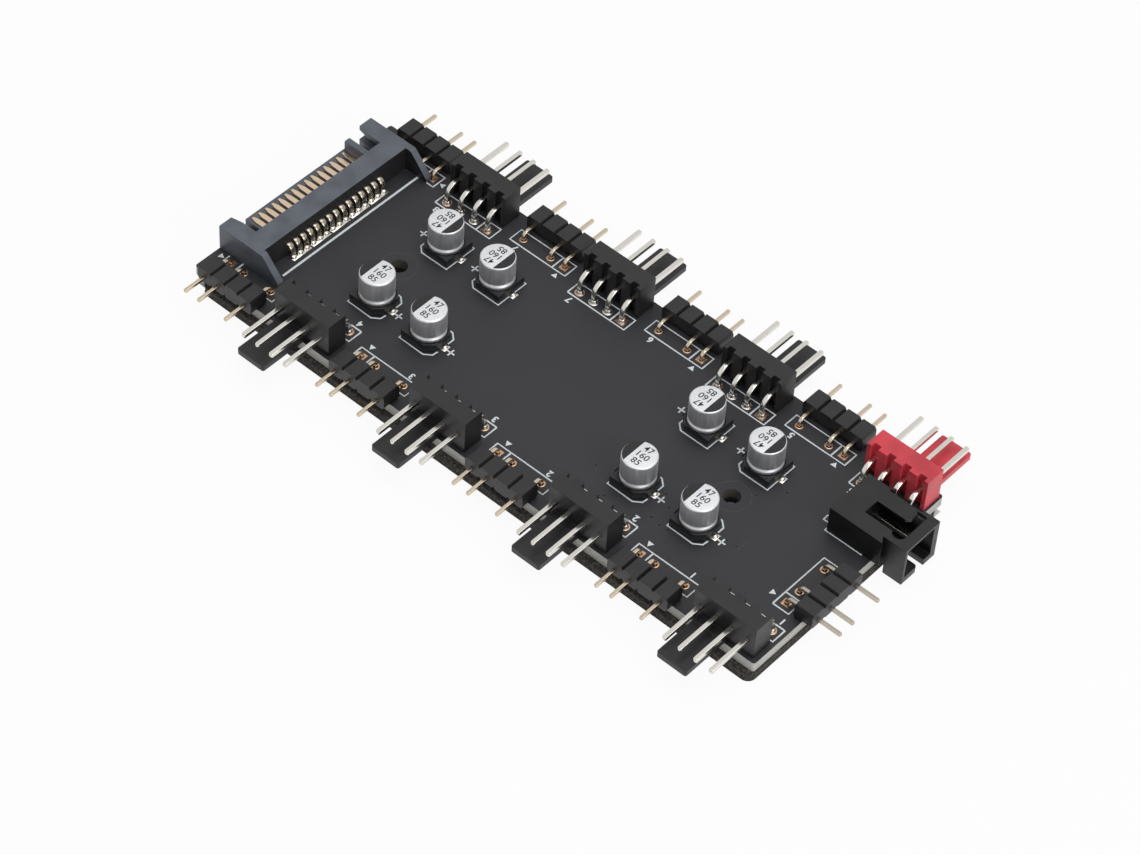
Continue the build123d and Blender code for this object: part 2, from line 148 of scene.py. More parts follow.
class CapacitorLook(PropertyGroup):
    """Electrolytic capacitors."""

    can: colour("Can", "Satin rolled aluminium", "#e4e5e7")
    can_dark: colour("Can, dark", "Draw marks that run up the can", "#dcdde0")
    print: colour("Can ink", "Black ink on the can's top", "#141416")
    crimp: length("Crimp depth", "Depth of the groove above the base", 0.26)
    rim: length("Rim radius", "Radius of the can's upper edge", 0.28)
    # Painted shade: the leads and solder on each can's -x side take this near black, as dark as the can's
    # ink, for the shade of the can.
    tarnish: colour("Tarnished tin", "Tin leads and solder in the can's own shade", "#141416")
    print_height: length("Print height", "How far the ink stands above the can", 0.008)
    base_edge: length("Base edge", "Radius of the moulded base's edges", 0.05)
    stripe: length("Band edge", "Distance of the inked band from the can's axis", 1.0)
    upper_number: plain_number("Upper number", "First plain number on a can", "47")
    middle_number: plain_number("Middle number", "Second plain number on a can", "160")
    lower_number: plain_number("Lower number", "Third plain number on a can", "85")
    figure_size: length("Figure size", "Size of the plain numbers on a can", 1.4)
    figure_weight: amount("Figure weight", "Extra width of the strokes, as a share of the size", 0.008)


class StageLook(PropertyGroup):
    """Floor, camera and lamps."""

    floor: colour("Floor", "Plain pale floor", "#f4f4f4")
    floor_glow: amount("Floor glow", "How white the floor looks to the eye, 1 being white", 0.93)
    key_power: amount("Key lamp", "Power of the large lamp overhead", 2.6, "POWER")
    side_power: amount("Side lamp", "Power of the lamp at the right", 2.25, "POWER")
    sky: amount("Sky", "Strength of the light from all round", 0.55)
    focal: amount("Focal length", "Focal length in millimetres", 119.01)


def settings(group):
    """The sizes and colours of one group, as the panel holds them."""
    return getattr(bpy.context.scene, f"hub_{group}")


# Materials


def add(tree, kind, inputs=None, **options):
    """Adds one shader node with its settings, and fills or links its inputs."""
    node = tree.nodes.new(kind)
    for name, value in options.items():
        setattr(node, name, value)
    for name, value in (inputs or {}).items():
        if isinstance(value, bpy.types.NodeSocket):
            tree.links.new(value, node.inputs[name])
        else:
            node.inputs[name].default_value = value
    return node


def surface(name, base, roughness, metallic=0.0):
    """A material of one shader with this colour and roughness."""
    material = bpy.data.materials.new(name)
    material.use_nodes = True
    inputs = material.node_tree.nodes["Principled BSDF"].inputs
    inputs["Base Color"].default_value = base
    inputs["Roughness"].default_value = roughness
    inputs["Metallic"].default_value = metallic
    return material


def cloudy(material, size, stretch=(1.0, 1.0, 1.0), detail=2.0):
    """A soft pattern on the piece's own coordinates, its patches of this size in metres."""
    tree = material.node_tree
    place = add(tree, "ShaderNodeTexCoord").outputs["Object"]
    stretched = add(tree, "ShaderNodeMapping", {"Vector": place, "Scale": stretch}).outputs["Vector"]
    values = {"Vector": stretched, "Scale": 1 / size, "Detail": detail}
    return add(tree, "ShaderNodeTexNoise", values).outputs["Fac"]


def varied(material, pattern, tones=None, gloss=None, depth=None, spread=(0.35, 0.65)):
    """Lets a pattern move the colour between two tones, the roughness between two values, and the relief."""
    tree = material.node_tree
    inputs = tree.nodes["Principled BSDF"].inputs
    if tones:
        ramp = add(tree, "ShaderNodeValToRGB", {"Fac": pattern})
        for element, position, tone in zip(ramp.color_ramp.elements, spread, tones):
            element.position = position
            element.color = tone
        tree.links.new(ramp.outputs["Color"], inputs["Base Color"])
    if gloss:
        ends = {"From Min": 0.3, "From Max": 0.7, "To Min": gloss[0], "To Max": gloss[1]}
        rough = add(tree, "ShaderNodeMapRange", {"Value": pattern, **ends})
        tree.links.new(rough.outputs["Result"], inputs["Roughness"])
    if depth:
        raised = add(tree, "ShaderNodeBump", {"Height": pattern, "Distance": depth})
        tree.links.new(raised.outputs["Normal"], inputs["Normal"])
    return material


def shaded(base, factor):
    """The same colour, lighter or darker."""
    return (*(min(1.0, channel * factor) for channel in base[:3]), 1.0)


def solder_mask():
    """Matt solder mask over glass cloth: near black, dull, with the cloth faintly felt."""
    look = settings("board")
    material = surface("solder_mask", look.mask, 0.55)
    uneven = cloudy(material, 9 * MM, detail=3.0)
    varied(material, uneven, tones=(look.mask, look.mask_pale), gloss=(0.5, 0.62))
    tree = material.node_tree
    place = add(tree, "ShaderNodeTexCoord").outputs["Object"]
    thread = 0.5 * MM
    bands = {"Vector": place, "Scale": math.pi / 10 / thread, "Distortion": 0.4}
    warp = add(tree, "ShaderNodeTexWave", bands, bands_direction="X")
    weft = add(tree, "ShaderNodeTexWave", bands, bands_direction="Y")
    crossed = {0: warp.outputs["Fac"], 1: weft.outputs["Fac"]}
    cloth = add(tree, "ShaderNodeMath", crossed, operation="MULTIPLY")
    return varied(material, cloth.outputs["Value"], depth=0.0012 * MM)


def covered_copper():
    """Solder mask over a copper trace: the same lacquer, a touch paler and smoother."""
    look = settings("board")
    material = surface("covered_copper", look.trace, 0.5)
    return varied(material, cloudy(material, 0.8 * MM), tones=(look.mask_pale, look.trace))


def laminate():
    """Routed glass fibre laminate: pale grey, streaked along the edge, with rough fibres."""
    look = settings("board")
    material = surface("routed_laminate", look.laminate, 0.75)
    layers = cloudy(material, 0.6 * MM, stretch=(0.5, 0.5, 4.0), detail=5.0)
    tones = (look.laminate_dark, look.laminate)
    return varied(material, layers, tones=tones, depth=0.03 * MM, spread=(0.3, 0.52))


def bore_wall():
    """Drilled and plated bore: dark, because little light falls in."""
    material = surface("drilled_bore", settings("board").bore, 0.6)
    return varied(material, cloudy(material, 0.1 * MM), depth=0.01 * MM)


def filled_hole():
    """Painted shade in a small hole: brown black, with hardly any shine."""
    material = surface("filled_hole", settings("board").via, 0.7)
    return varied(material, cloudy(material, 0.2 * MM), gloss=(0.6, 0.8))


def foam():
    """Cut rubber foam: black, no shine, with open cells at its edges."""
    look = settings("board")
    material = surface("cut_foam", look.foam, 0.95)
    cells = cloudy(material, look.foam_cell, detail=4.0)
    return varied(material, cells, tones=(look.foam, look.foam_pale), depth=0.12 * MM, spread=(0.45, 0.8))


def board_ink():
    """Screen printed epoxy ink: white, slightly uneven where the mesh laid it down."""
    look = settings("board")
    material = surface("screen_ink", look.ink, 0.55)
    mesh_marks = cloudy(material, 0.12 * MM)
    return varied(material, mesh_marks, tones=(shaded(look.ink, 0.86), look.ink), depth=0.004 * MM)


def pad_copper():
    """Plated copper of a pad: warm, fairly bright, a little uneven."""
    look = settings("board")
    material = surface("plated_copper", look.copper, 0.3, metallic=1.0)
    uneven = cloudy(material, 0.3 * MM)
    return varied(material, uneven, tones=(shaded(look.copper, 0.75), look.copper), gloss=(0.22, 0.4))


def tin_solder():
    """Reflowed tin solder: bright, with soft frozen ripples."""
    material = surface("tin_solder", settings("board").solder, 0.22, metallic=1.0)
    return varied(material, cloudy(material, 0.35 * MM), gloss=(0.15, 0.35), depth=0.02 * MM)


def moulded(name, base, low, high):
    """Moulded nylon: even colour with faint flow clouds, a fine spark eroded grain and a satin shine."""
    material = surface(name, base, low)
    flow = cloudy(material, 3 * MM, stretch=(1.0, 1.0, 2.0))
    varied(material, flow, tones=(shaded(base, 0.85), shaded(base, 1.15)), gloss=(low, high))
    grain = cloudy(material, 0.09 * MM)  # coarser than the real grain, so that it shows
    return varied(material, grain, depth=0.006 * MM)


def plated(name, base, low, high, along):
    """Plated wire or strip: bright metal with fine draw marks along it."""
    material = surface(name, base, low, metallic=1.0)
    marks = cloudy(material, 0.15 * MM, stretch=along)  # coarser than the real marks, so that they show
    return varied(material, marks, tones=(shaded(base, 0.95), base), gloss=(low, high))


def can_metal():
    """Deep drawn aluminium: satin silver with faint marks up its side."""
    look = settings("capacitors")
    material = surface("drawn_aluminium", look.can, 0.5, metallic=1.0)
    marks = cloudy(material, 0.3 * MM, stretch=(1.0, 1.0, 0.08), detail=1.0)  # coarse, so that they show
    return varied(material, marks, tones=(look.can_dark, look.can), gloss=(0.48, 0.54))


def can_ink():
    """Printed black ink: flat on the metal, with a slight shine."""
    material = surface("can_ink", settings("capacitors").print, 0.32)
    return varied(material, cloudy(material, 0.5 * MM), gloss=(0.26, 0.4))


# Shapes


def linked(name, data):
    """A new object in the scene."""
    made = bpy.data.objects.new(name, data)
    bpy.context.scene.collection.objects.link(made)
    return made


def modelled(shape, name, materials):
    """A new object with the shape as its mesh."""
    mesh = bpy.data.meshes.new(name)
    shape.to_mesh(mesh)
    shape.free()
    for material in materials:
        mesh.materials.append(material)
    return linked(name, mesh)


def finished(shape, name, materials, replaced=(), even=False):
    """Makes a piece of a shape: it rides on the hub, and may stand for CAD nodes."""
    piece = modelled(shape, name, materials)
    if even:
        shading = piece.modifiers.new("Even shading", "WEIGHTED_NORMAL")
        shading.keep_sharp = True
    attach(piece, "root")
    if replaced:
        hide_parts(*replaced)
    return piece


def dressed(node, name, material, radius):
    """Makes the piece that stands for a node: its softened copy in one material."""
    return finished(softened(node, radius), name, [material], [node], even=True)


def cad_copy(node):
    """A node's mesh, merged, with the flat faces whole again."""
    shape = bmesh.new()
    shape.from_mesh(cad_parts[node].data)
    bmesh.ops.remove_doubles(shape, verts=shape.verts, dist=0.0005 * MM)
    bmesh.ops.dissolve_limit(shape, angle_limit=math.radians(1), verts=shape.verts, edges=shape.edges)
    return shape


def softened(node, radius, segments=2, shortest=0.0):
    """A copy of a node with the real piece's small round edges; corners with very short edges stay sharp."""
    shape = cad_copy(node)
    bmesh.ops.connect_verts_concave(shape, faces=shape.faces)
    limit = math.radians(35)
    cramped = {vert for edge in shape.edges if edge.calc_length() < shortest for vert in edge.verts}
    edges = [
        edge
        for edge in shape.edges
        if edge.is_manifold and edge.calc_face_angle() > limit and not cramped.intersection(edge.verts)
    ]
    bmesh.ops.bevel(
        shape, geom=edges, offset=radius, segments=segments, profile=0.5, affect="EDGES", material=-1
    )
    steep = math.radians(55)
    for edge in shape.edges:
        edge.smooth = not edge.is_manifold or edge.calc_face_angle() < steep
    for face in shape.faces:
        face.smooth = True
    return shape


def turned(shape, profile, spot, steps):
    """Spins an outline of (radius, height) points about the spot's upright axis."""
    verts = [shape.verts.new((radius, 0, height)) for radius, height in profile]
    edges = [shape.edges.new(pair) for pair in zip(verts, verts[1:])]
    bmesh.ops.spin(
        shape, geom=verts + edges, axis=(0, 0, 1), cent=(0, 0, 0), angle=math.tau, steps=steps, use_merge=True
    )
    lathe = set(verts)
    fresh = lathe
    while fresh:
        fresh = {edge.other_vert(vert) for vert in fresh for edge in vert.link_edges} - lathe
        lathe |= fresh
    bmesh.ops.transform(shape, matrix=spot, verts=list(lathe))
    bmesh.ops.remove_doubles(shape, verts=list(lathe), dist=0.001 * MM)


def low_pad(shape, spot, width, depth, height):
    """Adds a low block of solder or copper with sloped edges, standing on the spot."""
    size = Matrix.Diagonal((width, depth, height, 1))
    made = bmesh.ops.create_cube(shape, size=1, matrix=spot @ Matrix.Translation((0, 0, height / 2)) @ size)
    edges = {edge for vert in made["verts"] for edge in vert.link_edges}
    level = [edge for edge in edges if edge.calc_length() > height * 1.01]
    slope = height * 0.6
    bmesh.ops.bevel(shape, geom=level, offset=slope, segments=1, profile=0.5, affect="EDGES", material=-1)


def thickened(shape, faces, height):
    """Pushes flat faces up by this height, and names their raised corners."""
    raised = bmesh.ops.extrude_face_region(shape, geom=faces)
    corners = [item for item in raised["geom"] if isinstance(item, bmesh.types.BMVert)]
    bmesh.ops.translate(shape, vec=(0, 0, height), verts=corners)
    return corners


def given(shape, index, wanted):
    """Gives the faces that pass a test another of the piece's materials."""
    for face in shape.faces:
        if wanted(face.calc_center_median(), face.normal):
            face.material_index = index
    return shape


def outward(shape):
    """Faces point outwards and shade smoothly."""
    bmesh.ops.recalc_face_normals(shape, faces=shape.faces)
    for face in shape.faces:
        face.smooth = True
    return shape


def on_board(x, y):
    """A spot on the board's top."""
    return Matrix.Translation((x, y, BOARD_TOP))


def header_spot(kind, number):
    """Where a header's pins stand on the board; the near row is turned half round."""
    low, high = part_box(f"{kind}_header_pins_{number}")
    near = number in NEAR_ROW
    foot = high.y - PIN_HALF_SIDE[kind] if near else low.y + PIN_HALF_SIDE[kind]
    stand = on_board((low.x + high.x) / 2, foot)
    return stand @ HALF_TURN if near else stand


def input_spot():
    """Where the input header's pins stand; they point along +X."""
    low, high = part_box("input_header_pins")
    foot = low.x + PIN_HALF_SIDE["light"]
    return on_board(foot, (low.y + high.y) / 2) @ Matrix.Rotation(-math.pi / 2, 4, "Z")


def capacitor_spot(number):
    """Where a capacitor stands on the board; the far row is turned half round."""
    low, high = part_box(f"capacitor_can_{number}")
    stand = on_board((low.x + high.x) / 2, (low.y + high.y) / 2)
    return stand if number in NEAR_ROW else stand @ HALF_TURN


def mesh_of(curve):
    """A curve or a text turned to a mesh."""
    holder = linked(curve.name, curve)
    bpy.context.view_layer.update()
    evaluated = holder.evaluated_get(bpy.context.evaluated_depsgraph_get())
    mesh = bpy.data.meshes.new_from_object(evaluated)
    bpy.data.objects.remove(holder)
    bpy.data.curves.remove(curve)
    return mesh


def printed_lines(name, lines, width, height):
    """Thin crowned strips on the board, through lists of points."""
    curve = bpy.data.curves.new(name, "CURVE")
    curve.dimensions = "3D"
    curve.bevel_depth = width / 2
    curve.bevel_resolution = 1
    curve.use_fill_caps = True
    for points in lines:
        spline = curve.splines.new("POLY")
        spline.points.add(len(points) - 1)
        for point, (x, y) in zip(spline.points, points):
            point.co = (x, y, 0, 1)
    shape = bmesh.new()
    mesh = mesh_of(curve)
    shape.from_mesh(mesh)
    bpy.data.meshes.remove(mesh)
    bmesh.ops.scale(shape, vec=(1, 1, 2 * height / width), verts=shape.verts)
    bmesh.ops.translate(shape, vec=(0, 0, BOARD_TOP), verts=shape.verts)
    return outward(shape)


def printed_text(shape, words, look, height, spot):
    """Adds a plain number of the look's size and weight, its middle on the spot."""
    curve = bpy.data.curves.new("figures", "FONT")
    curve.body = words
    curve.size = look.figure_size
    curve.align_x = "CENTER"
    curve.align_y = "CENTER"
    curve.extrude = height
    curve.offset = look.figure_size * look.figure_weight
    curve.resolution_u = 4
    mesh = mesh_of(curve)
    mesh.transform(spot)
    shape.from_mesh(mesh)
    bpy.data.meshes.remove(mesh)


def shifted(spot, x, y=0.0):
    """A spot moved by this much along its own plan."""
    return spot @ Matrix.Translation((x, y, 0))


def moved(spot, points):
    """Points in millimetres of a piece's own plan, moved to its place on the board."""
    return [(spot @ Vector((x * MM, y * MM, 0))).to_2d() for x, y in points]


def rectangle(left, right, front, rear):
    """The closed outline of a rectangle."""
    return [(left, front), (right, front), (right, rear), (left, rear), (left, front)]


# Pieces


class HUB_OT_board(Operator):
    """Lacquered board with routed edges, and traces that show faintly"""

    bl_idname = "hub.board"
    bl_label = "Board"

    def execute(self, context):
        shape = cad_copy("circuit_board")
        skin = 0.3 * MM
        lacquered, routed, bored = range(3)
        for face in shape.faces:
            middle = face.calc_center_median()
            inside_x = BOARD_LOW.x + skin < middle.x < BOARD_HIGH.x - skin
            inside_y = BOARD_LOW.y + skin < middle.y < BOARD_HIGH.y - skin
            level = abs(face.normal.z) > 0.5
            face.material_index = lacquered if level else bored if inside_x and inside_y else routed
        materials = [solder_mask(), laminate(), bore_wall()]
        finished(shape, "board", materials, ["circuit_board"])
        self.traces()
        return {"FINISHED"}

    def traces(self):
        """Copper that shows faintly through the lacquer: short traces, and rings round the mounting holes."""
        routes = [
            [(22.2, 6.1), (23.3, 6.1), (25.2, 8.0), (25.2, 9.5)],
            [(29.0, -13.8), (30.4, -13.8), (31.9, -12.4), (34.5, -12.4)],
            [(33.8, -7.7), (35.6, -7.7), (36.2, -7.1), (36.2, -4.0)],
            [(11.0, -7.5), (12.7, -7.5), (14.3, -5.9), (16.0, -5.9)],
            [(22.6, -6.7), (23.9, -6.7), (24.8, -5.9), (26.4, -5.9)],
        ]
        lines = [moved(Matrix(), route) for route in routes]
        covered = printed_lines("traces", lines, width=0.16 * MM, height=0.02 * MM)
        hole_x = 29.8 * MM
        ring_radius = 2.6 * MM
        half_width = 0.08 * MM
        ring = [(ring_radius - half_width, 0.0), (ring_radius, 0.012 * MM), (ring_radius + half_width, 0.0)]
        for x in (-hole_x, hole_x):
            turned(covered, ring, on_board(x, 0), steps=48)
        finished(outward(covered), "covered_traces", [covered_copper()])


class HUB_OT_copper(Operator):
    """Pad rings, square first pads, solder on the fan pins and contact legs, and vias"""

    bl_idname = "hub.copper"
    bl_label = "Pads and solder"

    def execute(self, context):
        look = settings("board")
        rings = bmesh.new()
        solder = bmesh.new()
        dimples = bmesh.new()
        rims = bmesh.new()
        self.light_pads(look, rings, dimples)
        self.fan_pads(look, rings, solder)
        self.contact_pads(look, solder)
        self.vias(dimples, rims)
        finished(outward(rings), "pad_rings", [pad_copper()], even=True)
        finished(outward(solder), "solder", [tin_solder()])
        finished(outward(dimples), "vias", [filled_hole()])
        finished(outward(rims), "via_rims", [covered_copper()])
        return {"FINISHED"}

    def pad_ring(self, inner, inner_top, outer_top, outer, height):
        """Half section of a flat ring with sloped edges."""
        return [(inner, 0.0), (inner_top, height), (outer_top, height), (outer, 0.0)]

    def first_pad(self, rings, spot, radius, height):
        """The square pad that marks a header's first pin."""
        low_pad(rings, shifted(spot, FIRST_PLACE), 2 * radius, 2 * radius, height)

    def cone(self, look, share):
        """Half section of solder that climbs a pin from a flared foot, at a share of its full height."""
        steps = ((1.0, 0.0), (0.9, 0.1), (0.76, 0.28), (0.66, 0.5), (0.0, 0.56))
        return [(look.solder_radius * wide, up * MM * share) for wide, up in steps]

    def light_pads(self, look, rings, dimples):
        """Round pads under the light and input pins, their holes closed by discs painted dark for the shade
        inside, and a square one at the first pin.
        """
        outer = look.pad_radius
        hole = 0.37 * MM
        ring = self.pad_ring(hole, hole * 1.08, outer * 0.93, outer, look.pad_height)
        fill = look.pad_height + 0.004 * MM
        for spot in [header_spot("light", number) for number in NUMBERS] + [input_spot()]:
            for place in LIGHT_PLACES:
                middle = shifted(spot, place)
                if place != FIRST_PLACE:
                    turned(rings, ring, middle, steps=20)
                turned(dimples, [(0.0, fill), (hole, fill)], middle, steps=20)
            self.first_pad(rings, spot, outer, look.pad_height)

    def fan_pads(self, look, rings, solder):
        """Solder round every fan pin: it covers the middle pads and leaves copper bare on the end ones."""
        inner = look.solder_radius
        outer = look.fan_pad_radius
        collar = self.pad_ring(inner * 0.9, inner * 0.95, outer * 0.95, outer, look.pad_height)
        for number in NUMBERS:
            spot = header_spot("fan", number)
            for place in PLACES:
                middle = shifted(spot, place)
                turned(solder, self.cone(look, 1.0), middle, steps=20)
                if place == PLACES[0]:
                    turned(rings, collar, middle, steps=20)
                elif place != FIRST_PLACE:
                    turned(solder, collar, middle, steps=20)
            self.first_pad(rings, spot, outer, look.pad_height)

    def contact_pads(self, look, solder):
        """Solder round the power contacts' legs, three to a pad."""
        low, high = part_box("power_plug_contacts")
        groups = 5
        in_group = 3
        half_leg = 0.4 * MM
        step = (high.y - low.y - 2 * half_leg) / (groups * in_group - 1)
        leg_x = high.x - 0.1 * MM
        pad_x = leg_x + 0.05 * MM
        for group in range(groups):
            middle_y = low.y + half_leg + (group * in_group + 1) * step
            spot = on_board(pad_x, middle_y)
            low_pad(solder, spot, width=1.3 * MM, depth=2 * step + 1.0 * MM, height=0.08 * MM)
            for leg in (-step, 0.0, step):
                turned(solder, self.cone(look, 0.8), on_board(leg_x, middle_y + leg), steps=20)

    def vias(self, dimples, rims):
        """Small holes between the layers, each closed by a disc painted dark for its shade, with a low
        lacquered rim.
        """
        places = [
            (13.5, -8.3), (23.4, -5.7), (25.2, -7.2), (24.6, -10.0), (26.2, -10.3),
            (27.5, -10.2), (35.7, -6.1), (34.2, -6.1), (34.6, 5.5), (17.3, -12.5),
            (17.8, -11.5), (19.4, -12.1), (20.0, -12.4), (32.1, 2.3),
        ]
        hole = 0.2 * MM
        fill = [(0, 0.01 * MM), (0.19 * MM, 0.01 * MM), (hole, 0)]
        rim = [(hole, 0), (0.24 * MM, 0.03 * MM), (0.3 * MM, 0)]
        for x, y in places:
            spot = on_board(x * MM, y * MM)
            turned(dimples, fill, spot, steps=12)
            turned(rims, rim, spot, steps=12)


class HUB_OT_print(Operator):
    """White print: outlines of the parts, plus signs, arrows and plain numbers"""

    bl_idname = "hub.print"
    bl_label = "Board print"

    def execute(self, context):
        look = settings("board")
        lines = []
        for number in NUMBERS:
            lines += self.fan_lines(number) + self.light_lines(number) + self.capacitor_lines(number)
        lines += self.end_lines()
        beside_plug = moved(Matrix(), [(-39.85, -12.4), (-39.85, 14.4)])
        thin = printed_lines("print", lines, look.ink_width, look.ink_height)
        bold = printed_lines("bold_print", [beside_plug], look.bold_width, look.ink_height)
        figures = bmesh.new()
        for number in NUMBERS:
            self.labels(figures, number, look)
        self.arrow(figures, on_board(43.96 * MM, -8.7 * MM), look.ink_height, -math.pi / 2)
        ink = board_ink()
        finished(thin, "board_print", [ink])
        finished(bold, "board_bold_print", [ink])
        finished(figures, "board_figures", [ink])
        return {"FINISHED"}

    def fan_lines(self, number):
        """Box round a fan header's pins, the first pin's place set apart."""
        half_length = 5.1
        front = -1.1
        rear = 1.33
        spot = header_spot("fan", number)
        box = moved(spot, rectangle(-half_length, half_length, front, rear))
        return [box, moved(spot, [(FIRST_EDGE, front), (FIRST_EDGE, rear)])]

    def light_lines(self, number):
        """Box round a light header's pins; the one at the plug's near side isn't closed."""
        left = -5.25
        right = 4.95
        front = -1.23
        rear = 1.27
        start = (-4.6, front)
        spot = header_spot("light", number)
        box = [start, (left, front), (left, rear), (right, rear), (right, -0.9)]
        if number != HEADERS_PER_ROW:
            box += [(right, front), start]
        return [moved(spot, box), moved(spot, [(FIRST_EDGE, front), (FIRST_EDGE, rear)])]

    def capacitor_lines(self, number):
        """Outline round a capacitor's base, two of its corners cut, and the plus sign at that side."""
        base = [(2.8, 0.8), (2.8, 1.9), (1.85, 2.75), (-2.75, 2.75)]
        base += [(-2.75, -2.85), (1.65, -2.9), (2.7, -2.1), (2.8, -1.2)]
        middle_x = 4.15
        middle_y = -0.1
        arm = 0.65
        across = [(middle_x - arm, middle_y), (middle_x + arm, middle_y)]
        along = [(middle_x, middle_y - arm), (middle_x, middle_y + arm)]
        spot = capacitor_spot(number)
        return [moved(spot, line) for line in (base, across, along)]

    def end_lines(self):
        """Box round the input header's pins, and the marks beside the latched header."""
        left = 45.1
        right = 47.7
        box = rectangle(left, right, -10.1, 0.3)
        first_pin = [(left, -7.5), (right, -7.5)]
        corner = [(40.9, 6.3), (40.9, 5.3), (42.5, 5.3)]
        side = [(42.2, 4.9), (42.2, 4.0), (48.3, 4.05)]
        return [moved(Matrix(), line) for line in (box, first_pin, corner, side)]

    def labels(self, figures, number, look):
        """A header's number, upright for the photograph's side, and the arrow at its first pin."""
        by_plug = number % HEADERS_PER_ROW == 0
        label_y = -2.05 * MM
        places = [("fan", -3.97 * MM)] if by_plug else [("fan", -3.97 * MM), ("light", -3.5 * MM)]
        for kind, x in places:
            spot = shifted(header_spot(kind, number), x, label_y)
            upright = spot if number in NEAR_ROW else spot @ HALF_TURN
            printed_text(figures, str(number), look, look.ink_height, upright)
        arrow_x, arrow_y, turn = (5.76, -0.1, math.pi / 2) if by_plug else (3.9, -2.15, 0.0)
        spot = shifted(header_spot("light", number), arrow_x * MM, arrow_y * MM)
        self.arrow(figures, spot, look.ink_height, turn)

    def arrow(self, shape, spot, height, turn):
        """A filled triangle that points at a header's first pin."""
        made = bmesh.ops.create_circle(shape, cap_ends=True, radius=0.55 * MM, segments=3)
        verts = made["verts"] + thickened(shape, made["verts"][0].link_faces[:], height)
        bmesh.ops.transform(shape, matrix=spot @ Matrix.Rotation(turn, 4, "Z"), verts=verts)
        faces = {face for vert in verts for face in vert.link_faces}
        bmesh.ops.recalc_face_normals(shape, faces=list(faces))


class HUB_OT_foam(Operator):
    """Foam pad under the board, its cut edges uneven with open cells"""

    bl_idname = "hub.foam"
    bl_label = "Foam pad"

    def execute(self, context):
        shape = cad_copy("foam_pad")
        low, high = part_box("foam_pad")
        across = 0.8 * MM
        layers = 5
        self.slice(shape, low.x, high.x, round((high.x - low.x) / across), (1, 0, 0))
        self.slice(shape, low.y, high.y, round((high.y - low.y) / across), (0, 1, 0))
        self.slice(shape, low.z, high.z, layers, (0, 0, 1))
        bmesh.ops.triangulate(shape, faces=[face for face in shape.faces if len(face.verts) > 4])
        depth = 0.12 * MM
        waves = 0.8 / settings("board").foam_cell
        sides = {vert for face in shape.faces if abs(face.normal.z) < 0.5 for vert in face.verts}
        ways = {vert: Vector((vert.normal.x, vert.normal.y, 0)) for vert in sides}
        for vert, way in ways.items():
            if way.length > 0 and low.z < vert.co.z < high.z:
                sunk = 0.5 + 0.5 * noise.noise(vert.co * waves)
                vert.co -= way.normalized() * depth * sunk
        for face in shape.faces:
            face.smooth = True
        pad = finished(shape, "foam", [foam()], ["foam_pad"])
        return {"FINISHED"}

    def slice(self, shape, start, end, count, direction):
        """Cuts the pad into this many slabs with evenly spaced planes."""
        for step in range(1, count):
            at = Vector(direction) * (start + (end - start) * step / count)
            everything = shape.verts[:] + shape.edges[:] + shape.faces[:]
            bmesh.ops.bisect_plane(shape, geom=everything, plane_co=at, plane_no=direction, dist=0.0005 * MM)


class HUB_OT_power_plug(Operator):
    """Grey power plug with soft moulded edges, and its gold plated contacts"""

    bl_idname = "hub.power_plug"
    bl_label = "Power plug"

    def execute(self, context):
        look = settings("connectors")
        grey = moulded("grey_nylon", look.grey, 0.36, 0.48)
        # Painted shade: the upright faces behind the bar, between the gussets, take the black moulding for
        # the shade in that recess.
        black = moulded("recess_painted_shade", look.black, 0.45, 0.6)
        low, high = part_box("power_plug_housing")
        tips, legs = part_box("power_plug_contacts")
        bar_rear = legs.x - 1.0 * MM
        touch = 0.01 * MM
        gusset = 1.0 * MM

        def in_recess(middle, normal):
            between = low.y + gusset < middle.y < high.y - gusset
            return between and middle.x > bar_rear - touch and abs(normal.z) < 0.3

        shape = given(softened("power_plug_housing", look.edge, shortest=0.03 * MM), 1, in_recess)
        finished(shape, "plug_moulding", [grey, black], ["power_plug_housing"], even=True)
        gold = plated("contact_gold", look.contact, 0.25, 0.38, (0.05, 1.0, 1.0))
        tin = plated("contact_tin", look.contact_tin, 0.12, 0.2, (0.05, 1.0, 1.0))
        self.grooves(look, tips, legs)
        arch_start = bar_rear - 0.3 * MM
        contacts = softened("power_plug_contacts", look.strip_edge, segments=1)
        given(contacts, 1, lambda middle, normal: middle.x > arch_start)
        finished(contacts, "plug_contacts", [gold, tin], ["power_plug_contacts"], even=True)
        return {"FINISHED"}

    def grooves(self, look, low, high):
        """Grooves in the tongue, drawn as thin dark strips on its top, one between each two contacts: painted
        shade.
        """
        spaces = 14
        blade_width = 0.8 * MM
        pitch = (high.y - low.y - blade_width) / spaces
        start = low.x + 0.7 * MM
        reach = 3.0 * MM
        tongue_top = BOARD_TOP + 2.05 * MM
        shape = bmesh.new()
        for number in range(spaces):
            y = low.y + blade_width / 2 + (number + 0.5) * pitch
            spot = Matrix.Translation((start + reach / 2, y, tongue_top))
            low_pad(shape, spot, width=reach, depth=0.34 * MM, height=0.02 * MM)
        # Painted shade: the strips take a dark colour for the shade a groove holds.
        groove = moulded("groove_painted_shade", look.groove, 0.5, 0.6)
        finished(outward(shape), "tongue_grooves", [groove])


class HUB_OT_fan_headers(Operator):
    """Eight fan headers, seven black and one red, and their tin plated pins"""

    bl_idname = "hub.fan_headers"
    bl_label = "Fan headers"

    def execute(self, context):
        look = settings("connectors")
        black = moulded("black_nylon", look.black, 0.38, 0.5)
        red = moulded("red_nylon", look.red, 0.34, 0.46)
        tin = plated("bright_tin", look.tin, 0.14, 0.22, (1.0, 0.05, 0.5))
        for number in NUMBERS:
            first_far = number == HEADERS_PER_ROW + 1
            nylon, slot = (red, "red_moulding") if first_far else (black, "black_moulding")
            dressed(f"fan_header_{number}", f"fan_body_{number}", nylon, look.edge)
            dressed(f"fan_header_pins_{number}", f"fan_pins_{number}", tin, look.pin_edge)
        return {"FINISHED"}


